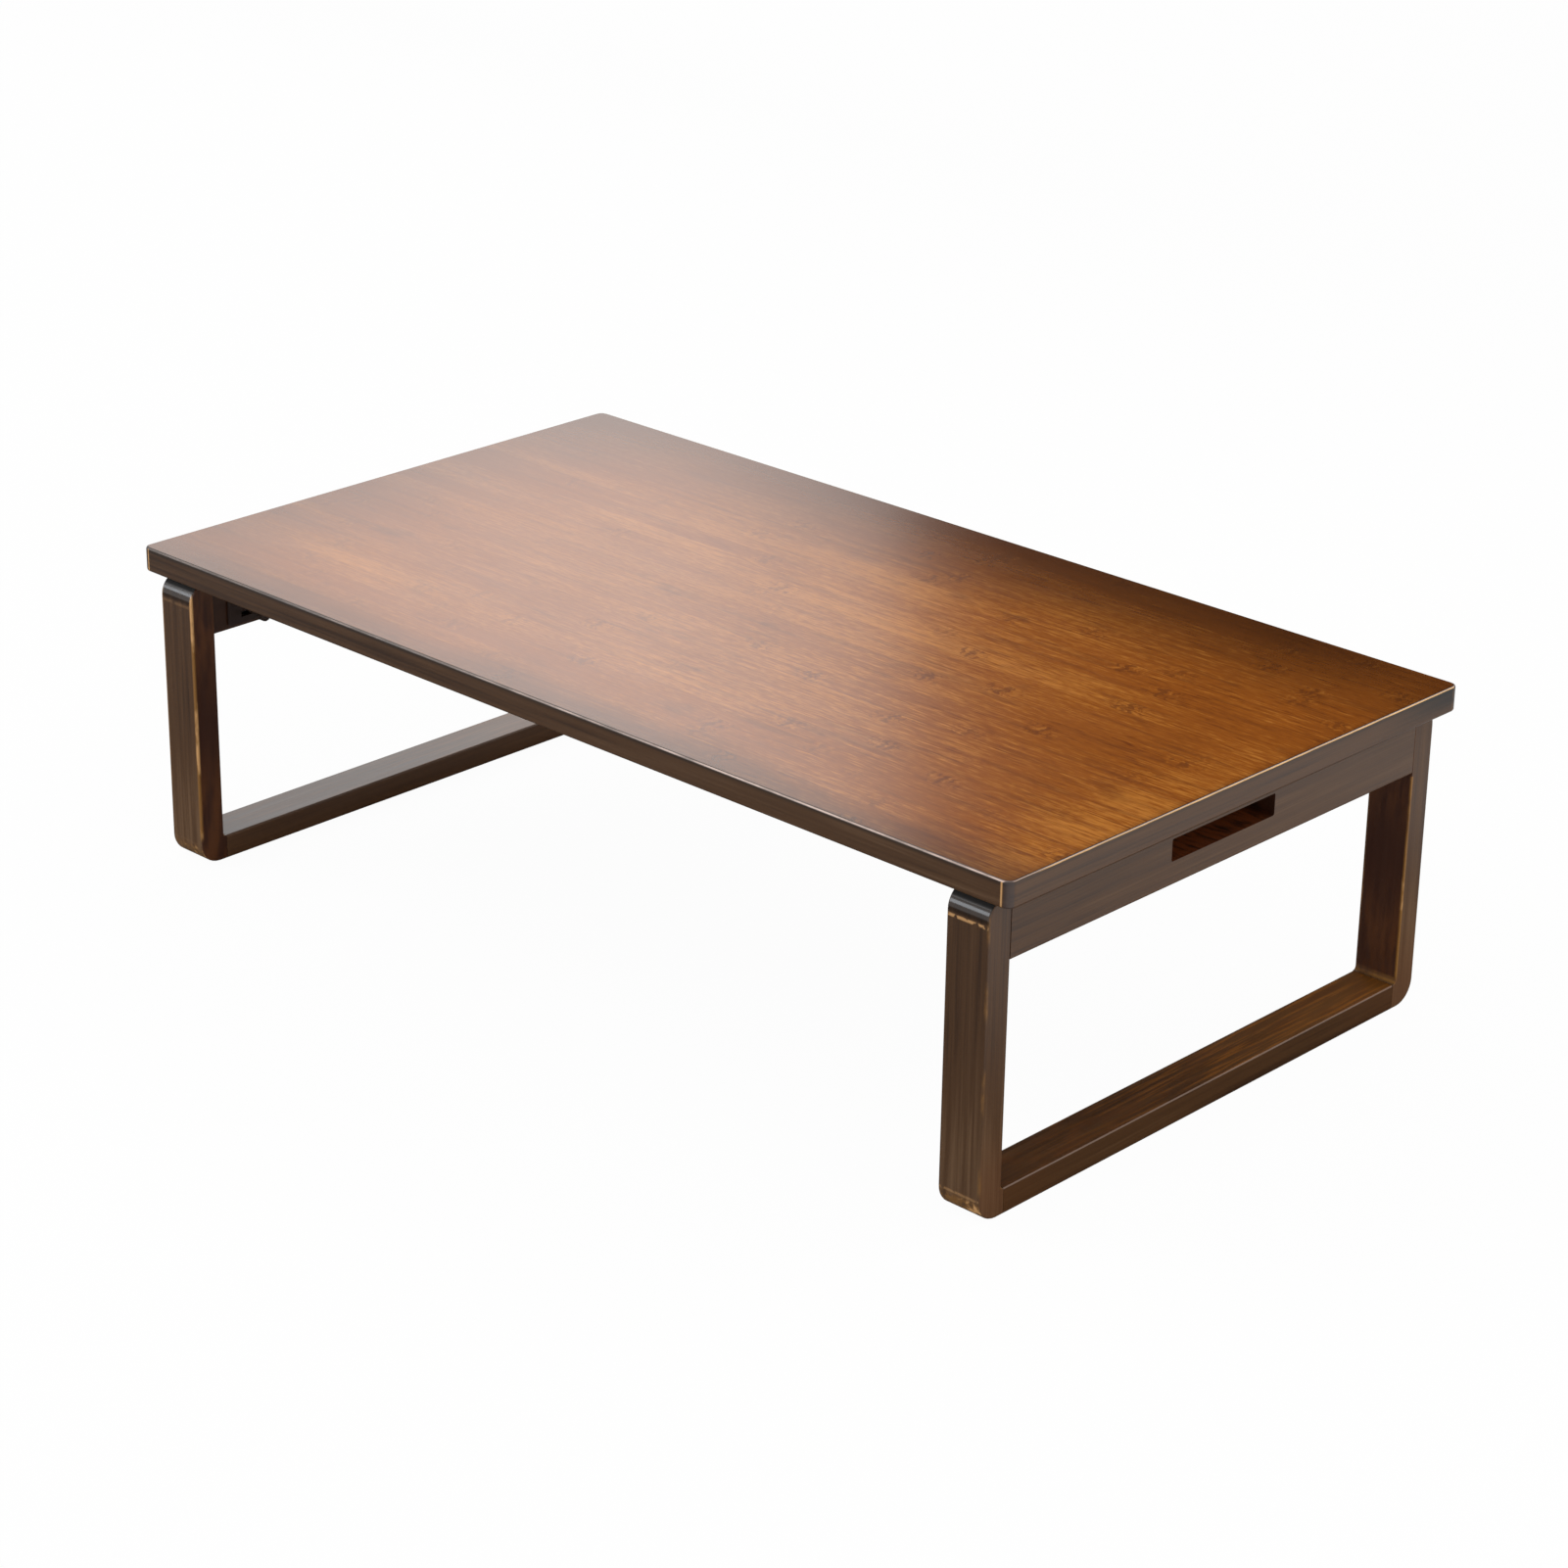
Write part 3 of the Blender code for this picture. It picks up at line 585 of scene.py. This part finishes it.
# legs: arrises, the line below the rounded top and the foot are rubbed, each leg in its own measure
leg = {
    "ridgeDrop": 0.019,                     # from the leg's top to the line where its rounding begins
    "footRounding": 0.018,
    "cove": 0.003,
    "railTop": 0.02,
    "footLift": (0.15, 0.02, 0.0, 0.38),
    "innerShadeShare": 0.85,
    "blotch": {"size": (0.05, 0.01), "seed": 20, "detail": 3, "cut": (0.36, 0.62), "share": 0.9},
    "blotchMiddle": 0.12,                   # the height that is clear of blotches
    "blotchReach": (0.0, 0.08),
    "outerFacing": (0.7, 0.9),
    "footBlotch": (0.08, 0.02, 0.0, 0.4),
    "patches": {"size": (0.06, 0.03), "seed": 11, "detail": 4},
    "speckle": {"size": (0.006, 0.006), "seed": 12, "detail": 3},
    # rubbed arrises, and the cove above the rail
    "sideTurn": 0.001,                      # half the width over which outer turns to inner
    "innerStart": 0.004,                    # below the apron
    "innerWidth": 0.0021,
    "outerWidth": 0.0027,
    "arrisStart": 0.008,                    # above the rail
    "arrisTurn": 0.01,
    "arrisLeft": 0.3,                       # share on the left arrises
    "thinRub": 0.6,
    "thinCut": (0.75, 0.95),
    "bareRub": 0.45,
    "bareRise": (0.17, 0.2, 0.0, 0.1),
    "bareCut": (0.95, 1.05),
    "coveStart": 0.001,
    "coveTop": (0.026, 0.024),
    "coveTurn": 0.0005,
    "coveCut": (0.35, 0.5),
    # lines where the roundings begin
    "ridgeWidth": 0.0018,
    "footWidth": 0.0016,
    "footLine": 0.4,
    "ridgeCut": (0.4, 0.5),
    # rounded top
    "curvedFacing": (0.7, 0.4),
    "roundedFrom": 0.001,                   # above the ridge
    "roundedFull": 0.004,
    "roundedShadeShare": 0.7,
    "roundedGloss": 0.23,
    "underBoardShadeFrom": 0.0075,                 # below the leg's top
    "underBoardShadeFull": 0.0055,
    "underBoardShadeDull": 0.45,
    # rounded foot
    "footFacing": (0.6, 0.3),
    "footFull": 0.7,                        # of the rounding
    "footThin": (0.3, 0.55, 0.0, 0.8),
    "footLean": 0.12,                       # more wear on the right
    "footBare": (0.58, 0.68),
}
# how far each leg is rubbed on its outer and inner arrises, at its ridge and at its foot
legWear = {
    "right_front": {"outer": 0.42, "inner": 0.0, "ridge": 0.75, "foot": 0.9,
                    "seed": 50, "lift": 0.1, "specular": 0.5},
    "right_back": {"outer": 0.3, "inner": 0.8, "ridge": 0.3, "foot": 0.2,
                   "seed": 51, "lift": 0.18, "specular": 0.42},
    "left_front": {"outer": 1.1, "inner": 0.0, "ridge": 0.1, "foot": 0.5,
                   "seed": 52, "lift": 0.1, "specular": 0.5},
    "left_back": {"outer": 0.45, "inner": 0.3, "ridge": 0.4, "foot": 0.4,
                  "seed": 53, "lift": 0.1, "specular": 0.5},
}


def stainedLeg(legName):
    wear, seed = legWear[legName], legWear[legName]["seed"]
    end, side = legName.split("_")
    low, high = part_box(legName + "_leg")
    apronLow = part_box(end + "_apron")[0]
    middleX, halfX = (low.x + high.x) / 2, (high.x - low.x) / 2
    innerY, outerY = sorted((abs(low.y), abs(high.y)))
    innerY = innerY + leg["cove"]
    middleY, halfY = (outerY + innerY) / 2, (outerY - innerY) / 2
    ridgeZ, railZ, footZ = high.z - leg["ridgeDrop"], leg["railTop"], leg["footRounding"]

    material, start, shader = newMaterial(legName.replace("_", " ") + " stain")
    x, y, z = coordinates(start, "Object")
    nx, ny = coordinates(start, "Normal")[:2]
    colour, grain, haze = stainTone(start, z, x + y, seed, z.ease(*leg["footLift"]) + wear["lift"])
    inner = inward(nx, end).most(inward(ny, side))
    # painted shade on faces towards the middle of the table
    colour = mixColour(inner * leg["innerShadeShare"], colour, stain["inner"])
    blotch = layer(start, z, x + y, leg["blotch"], seed)
    blotch = blotch * abs(z - leg["blotchMiddle"]).ease(*leg["blotchReach"])
    colour = mixColour(inner * blotch, colour, stain["blotch"])
    outside = abs(nx).ease(*leg["outerFacing"]) * (1 - inner)
    colour = mixColour(outside * z.ease(*leg["footBlotch"]), colour, stain["blotch"])

    # arrises: outer ones all the way up, inner ones below the apron, more on the right
    patches = layer(start, z, x + y, leg["patches"], seed)
    speckle = layer(start, x, z, leg["speckle"], seed)
    outer = (abs(y) - middleY).ease(-leg["sideTurn"], leg["sideTurn"])
    innerRub = (1 - outer) * z.ease(apronLow.z, apronLow.z - leg["innerStart"]) * wear["inner"]
    rub = outer * wear["outer"] + innerRub
    wide = between(outer, leg["innerWidth"], leg["outerWidth"])
    arris = nearEdge((halfX - abs(x - middleX)) / wide, 1.0)
    arris = arris * nearEdge((halfY - abs(abs(y) - middleY)) / wide, 1.0)
    arris = arris * z.ease(railZ, railZ + leg["arrisStart"])
    arris = arris * (x - middleX).ease(-leg["arrisTurn"], leg["arrisTurn"]).most(leg["arrisLeft"])
    thin = arris * (patches + rub * leg["thinRub"]).ease(*leg["thinCut"])
    bareRub = rub * leg["bareRub"] + z.ease(*leg["bareRise"]) * rub
    bare = arris * (patches + bareRub).ease(*leg["bareCut"])
    cove = z.ease(*leg["coveTop"]) * z.ease(railZ, railZ + leg["coveStart"])
    cove = cove * (abs(y) - innerY).ease(leg["coveTurn"], -leg["coveTurn"])
    colour = mixColour(thin.most(cove * patches.ease(*leg["coveCut"])), colour, stain["thin"])

    # the rounded top gets painted shade and is glossy, and begins in a worn line as the foot's rounding
    # does
    curved = abs(nx).ease(*leg["curvedFacing"]) * (1 - inner)
    rounded = z.ease(ridgeZ + leg["roundedFrom"], ridgeZ + leg["roundedFull"]) * curved
    colour = mixColour(rounded * leg["roundedShadeShare"], colour, stain["shadow"])
    ridge = nearEdge(abs(z - ridgeZ), leg["ridgeWidth"])
    ridge = ridge.most(nearEdge(abs(z - footZ), leg["footWidth"]) * leg["footLine"])
    ridge = ridge * abs(ny).ease(*stain["flatFacing"]) * speckle.ease(*leg["ridgeCut"]) * wear["ridge"]
    colour = mixColour(bare.most(ridge), colour, stain["bare"])

    # the foot's rounding is worn to bare wood in places
    foot = z.ease(footZ, footZ * leg["footFull"]) * outer * abs(nx).ease(*leg["footFacing"]) * wear["foot"]
    colour = mixColour(foot * speckle.ease(*leg["footThin"]), colour, stain["thin"])
    worn = speckle + (x - middleX) / halfX * leg["footLean"]
    colour = mixColour(foot * worn.ease(*leg["footBare"]), colour, stain["bare"])

    # painted shade: the top under the board is black, and dull
    underBoardShade = z.ease(high.z - leg["underBoardShadeFrom"], high.z - leg["underBoardShadeFull"]) * curved
    colour = mixColour(underBoardShade, colour, stain["shadow"])
    dull = cove.most(underBoardShade) * leg["underBoardShadeDull"] - rounded * (1 - underBoardShade) * leg["roundedGloss"]
    finishStain(shader, colour, grain * (1 - rounded), haze, dull, wear["specular"])
    return material


# fittings: metal and nylon in one way, birch dowels with their grain
fittings = {
    "steel": ("zinc steel", tint(176, 176, 178), 0.32, 1.0),        # name, colour, roughness, metallic
    "black_steel": ("blackened steel", tint(52, 30, 20), 0.6, 0.0),
    "nylon": ("nylon", tint(220, 216, 206), 0.5, 0.0),
    "cloud": {"size": (0.004, 0.004), "seed": 1, "detail": 3},
    "grime": (0.01, 0.01, 0.01, 1),
    "grimeShare": 0.3,
    "cloudRough": 0.15,
    "relief": (0.0001, 0.2),
}
dowel = {
    "pale": tint(196, 154, 102),
    "dark": tint(150, 108, 62),
    "grain": {"size": (0.03, 0.0008), "seed": 2, "detail": 3},
    "grainTone": (0.3, 0.7),
    "roughness": (0.6, 0.75),
    "relief": (0.0001, 0.3),
}


def plainFinish(name, colour, roughness, metallic):
    material, start, shader = newMaterial(name)
    x, y, z = coordinates(start, "Object")
    cloud = layer(start, x, y + z, fittings["cloud"])
    shade = mixColour(cloud * fittings["grimeShare"], colour, fittings["grime"])
    rough = cloud * fittings["cloudRough"] + roughness
    feed(shader, colour=shade, roughness=rough, normal=bump(cloud, *fittings["relief"]))
    shader.inputs["Metallic"].default_value = metallic
    return material


def dowelWood():
    material, start, shader = newMaterial("birch dowel")
    x, y, z = coordinates(start, "Object")
    grain = layer(start, y, x + z, dowel["grain"])
    shade = mixColour(grain.ease(*dowel["grainTone"]), dowel["pale"], dowel["dark"])
    roughness = between(grain, *dowel["roughness"])
    feed(shader, colour=shade, roughness=roughness, normal=bump(grain, *dowel["relief"]))
    return material


# pieces: the frame's own solids, welded so that arrises and bores shade round
welding = {"gap": 0.000002, "flat": math.radians(0.3), "crease": math.radians(50)}


def softNeighbours(face, vert):
    # faces round a point that are joined to this one by edges softer than the crease
    joined, waiting = {face}, [face]
    while waiting:
        for edge in waiting.pop().edges:
            if vert in edge.verts and edge.calc_face_angle(math.pi) < welding["crease"]:
                fresh = set(edge.link_faces) - joined
                joined |= fresh
                waiting += fresh
    return joined


def cornerNormals(shape):
    # the larger face counts more, so broad faces stay flat up to their arrises
    normals = []
    for face in shape.faces:
        for loop in face.loops:
            total = Vector()
            for other in softNeighbours(face, loop.vert):
                total += other.normal * (other.calc_area() * 1e6) ** 2     # in square millimetres
            normals.append(total.normalized())
    return normals


def dress(nodeName, material, second=None, isSecond=None):
    shape = bmesh.new()
    shape.from_mesh(nodes[nodeName].data)
    bmesh.ops.remove_doubles(shape, verts=shape.verts, dist=welding["gap"])
    bmesh.ops.dissolve_limit(shape, angle_limit=welding["flat"], verts=shape.verts, edges=shape.edges)
    shape.normal_update()
    normals = cornerNormals(shape)
    mesh = bpy.data.meshes.new(nodeName + ".looks")
    shape.to_mesh(mesh)
    shape.free()
    mesh.shade_smooth()
    mesh.normals_split_custom_set(normals)
    mesh.materials.append(material)
    if second:
        mesh.materials.append(second)
        for face in mesh.polygons:
            face.material_index = int(isSecond(face))
    piece = bpy.data.objects.new(nodeName + ".looks", mesh)
    bpy.context.scene.collection.objects.link(piece)
    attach(piece, bodyOf[nodeName])
    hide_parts(nodeName)


def onTop(face):
    return face.normal.z > board["topFacing"]


def inSlot(face):
    low, high = handSlot["height"]
    within = abs(face.center.y) < handSlot["halfLength"] and low < face.center.z < high
    return within and abs(face.normal.x) < handSlot["sideFacing"]


dress("top_board", boardSides(), boardTop(), onTop)
for end in ("right", "left"):
    dress(end + "_apron", stainedApron(end), slotWood(end), inSlot)
    dress(end + "_foot_rail", stainedRail(end))
    for side in ("front", "back"):
        legName = f"{end}_{side}"
        dress(legName + "_leg", stainedLeg(legName))
print("wood dressed")

# which finish each kind of fitting has, by its name's part
finishOf = {
    "dowel": "dowel",
    "pivot_bush": "nylon",
    "pivot_pin": "steel",
    "lock_bolt": "steel",
    "apron_screw": "steel",
    "lock_knob": "black_steel",
    "lock_plate": "black_steel",
    "plate_screw": "black_steel",
}
finishes = {slot: plainFinish(*fittings[slot]) for slot in ("steel", "black_steel", "nylon")}
finishes["dowel"] = dowelWood()
for nodeName in sorted(nodes):
    for part, slot in finishOf.items():
        if part in nodeName:
            dress(nodeName, finishes[slot])
print("fittings dressed")

# studio: pale floor, white surround, a broad soft window behind on the left with a dark card beside it
studio = {
    "ambient": 0.6,
    "floorColour": tint(244, 243, 241),
    "floorShade": tint(240, 239, 237),
    "floorCloud": {"size": (0.5, 0.5)},
    "floorRoughness": 0.9,
    "floorSize": 14.0,
    "floorDrop": 0.0005,                    # below the feet
    "shadowShare": 0.035,
    "windowEdge": (-1.61, 1.957),           # the window's right upright edge
    "windowSize": (2.3, 1.7),
    "windowMiddle": 1.35,
    "windowStrength": 2.45,
    "glowRight": (0.0, 0.55, 0.72, 1.0),    # from the right edge
    "glowLeft": (0.7, 1.5, 1.0, 0.8),
    "glowLow": (0.95, 1.6, 0.66, 1.0),      # above the floor
    "cloth": {"size": (0.1, 0.1), "share": 0.2},
    "clothRoughness": 1.0,
    "cardColour": tint(16, 15, 14),
    "cardWidth": 2.4,
    "matColour": tint(112, 110, 108),
    "matLow": (-1.4, -1.2),
    "matHigh": (0.95, 0.95),
    "matHeight": 0.0002,
    "matWhiteX": (0.53, 0.78),
    "matWhiteY": (0.35, 0.65),
    "matCornerX": (0.6, 0.7),
    "matCornerY": (0.62, 0.72, 0.0, 0.85),
}
# lamps: the strip is a little blue, the one at the side stays out of the gloss
lamps = {
    "key": {"place": (-1.45, -1.2, 1.9), "target": (0, 0, 0.2), "size": (1.3, 1.0), "power": 15},
    "strip": {"place": (-1.5, -1.96, 0.85), "target": (0, -0.24, 0.23), "size": (1.4, 0.6), "power": 12,
              "colour": (0.86, 0.93, 1.0)},
    "rim": {"place": (1.0, 1.7, 1.9), "target": (0, 0, 0.2), "size": (0.9, 0.6), "power": 10},
    "side": {"place": (2.4, -0.2, 1.0), "target": (0, 0, 0.15), "size": (1.2, 1.2), "power": 14,
             "inGloss": False},
}


def seenWhite(start):
    # 1 for what the camera, gloss and glass see
    path = start.add("ShaderNodeLightPath", None, None, "Is Camera Ray")
    return path.most(path.out("Is Glossy Ray")).most(path.out("Is Transmission Ray"))


def makeWorld():
    world = bpy.data.worlds.new("surround")
    world.use_nodes = True
    bpy.context.scene.world = world
    tree = world.node_tree
    background = tree.nodes["Background"]
    background.inputs["Color"].default_value = white
    strength = between(seenWhite(Wire(tree)), studio["ambient"], 1)
    tree.links.new(strength.socket, background.inputs["Strength"])


def addSheet(name, corners, material):
    # one flat face of the stage
    mesh = bpy.data.meshes.new(name)
    mesh.from_pydata(corners, [], [(0, 1, 2, 3)])
    mesh.materials.append(material)
    sheet = bpy.data.objects.new(name, mesh)
    bpy.context.scene.collection.objects.link(sheet)
    return sheet


def level(low, high, z):
    (west, south), (east, north) = low, high
    return [(west, south, z), (east, south, z), (east, north, z), (west, north, z)]


def upright(left, right, y, low, high):
    return [(left, y, low), (right, y, low), (right, y, high), (left, y, high)]


def setSurface(start, surface):
    start.tree.links.new(surface.socket, start.tree.nodes["Material Output"].inputs["Surface"])


def paleFloor():
    material, start, shader = newMaterial("pale floor")
    x, y = coordinates(start, "Object")[:2]
    cloud = layer(start, x, y, studio["floorCloud"])
    colour = mixColour(cloud, studio["floorColour"], studio["floorShade"])
    feed(shader, colour=colour, roughness=studio["floorRoughness"])
    glow = start.add("ShaderNodeEmission", None, {"Color": white, "Strength": 1.0})
    factor = seenWhite(start) * (1 - studio["shadowShare"])
    diffuse = Wire(start.tree, shader.outputs[0])
    setSurface(start, start.add("ShaderNodeMixShader", None, {0: factor, 1: diffuse, 2: glow}))
    return material


def makeFloor():
    half = studio["floorSize"] / 2
    floor = addSheet("floor", level((-half, -half), (half, half), 0), paleFloor())
    floor.location.z = cadLow.z - studio["floorDrop"]


def windowGlow():
    # falls off towards its right, left and lower edges
    material, start = newMaterial("window glow")[:2]
    x, z = coordinates(start, "Object")[::2]
    fromRight = studio["windowEdge"][0] - x
    fall = fromRight.ease(*studio["glowRight"]) * fromRight.ease(*studio["glowLeft"])
    fall = fall * z.ease(*studio["glowLow"])
    glow = start.add("ShaderNodeCombineColor", None, {"Red": fall, "Green": fall, "Blue": fall})
    sockets = {"Color": glow, "Strength": studio["windowStrength"]}
    setSurface(start, start.add("ShaderNodeEmission", None, sockets))
    return material


def darkCloth():
    material, start, shader = newMaterial("dark card")
    x, y, z = coordinates(start, "Object")
    colour = mixColour(layer(start, x, y + z, studio["cloth"]), studio["cardColour"], black)
    feed(shader, colour=colour, roughness=studio["clothRoughness"])
    return material


def shadeMat():
    # painted shade for reflections: grey under the table and before it, white further out on the right and
    # behind, grey again in the far right corner
    material, start, shader = newMaterial("grey shade mat")
    x, y = coordinates(start, "Object")[:2]
    colour = mixColour(layer(start, x, y, studio["cloth"]), studio["matColour"], black)
    outside = x.ease(*studio["matWhiteX"]).most(y.ease(*studio["matWhiteY"]))
    corner = x.ease(*studio["matCornerX"]) * y.ease(*studio["matCornerY"])
    colour = mixColour(outside * (1 - corner), colour, white)
    feed(shader, colour=colour, roughness=studio["clothRoughness"])
    return material


def addCard(name, corners, material):
    # shows only in gloss
    card = addSheet(name, corners, material)
    card.visible_camera = card.visible_diffuse = False
    card.visible_shadow = card.visible_transmission = False
    return card


def areaLamp(name, place, target, size, power, colour=(1, 1, 1), inGloss=True):
    lamp = bpy.data.lights.new(name, "AREA")
    lamp.shape = "RECTANGLE"
    lamp.size, lamp.size_y = size
    lamp.energy = power
    lamp.color = colour
    rig = bpy.data.objects.new(name, lamp)
    bpy.context.scene.collection.objects.link(rig)
    rig.location = place
    rig.rotation_euler = (Vector(target) - Vector(place)).to_track_quat("-Z", "Y").to_euler()
    rig.visible_camera = False
    rig.visible_glossy = inGloss


def makeLights():
    edgeX, edgeY = studio["windowEdge"]
    width, height = studio["windowSize"]
    low, high = studio["windowMiddle"] - height / 2, studio["windowMiddle"] + height / 2
    window = addCard("window", upright(edgeX - width, edgeX, edgeY, low, high), windowGlow())
    window.visible_diffuse = True
    for name, lamp in lamps.items():
        areaLamp(name, **lamp)
    # a dark card keeps the surround out of the lacquer on the right, a grey mat seen only in gloss is
    # painted shade, standing in for the floor's shade under and before the table
    card = upright(edgeX, edgeX + studio["cardWidth"], edgeY, low - height / 2, high + height / 2)
    addCard("dark card", card, darkCloth())
    addCard("grey shade mat", level(studio["matLow"], studio["matHigh"], studio["matHeight"]), shadeMat())


# camera: the photograph's own view
view = {
    "place": Vector((1.94720, -2.04277, 1.31693)),
    "forward": Vector((-0.63308683, 0.6682105, -0.39076308)),
    "roll": math.radians(0.847),
    "lens": 91.367,
    "sensor": 36.0,
}


def makeCamera():
    lens = bpy.data.cameras.new("camera")
    lens.lens = view["lens"]
    lens.sensor_width = view["sensor"]
    camera = bpy.data.objects.new("camera", lens)
    bpy.context.scene.collection.objects.link(camera)
    camera.location = view["place"]
    camera.rotation_mode = "QUATERNION"
    roll = Quaternion((0, 0, 1), view["roll"])
    camera.rotation_quaternion = view["forward"].to_track_quat("-Z", "Y") @ roll
    bpy.context.scene.camera = camera
    bpy.context.scene.view_settings.view_transform = "Standard"


makeWorld()
makeFloor()
makeLights()
makeCamera()
print("studio set")
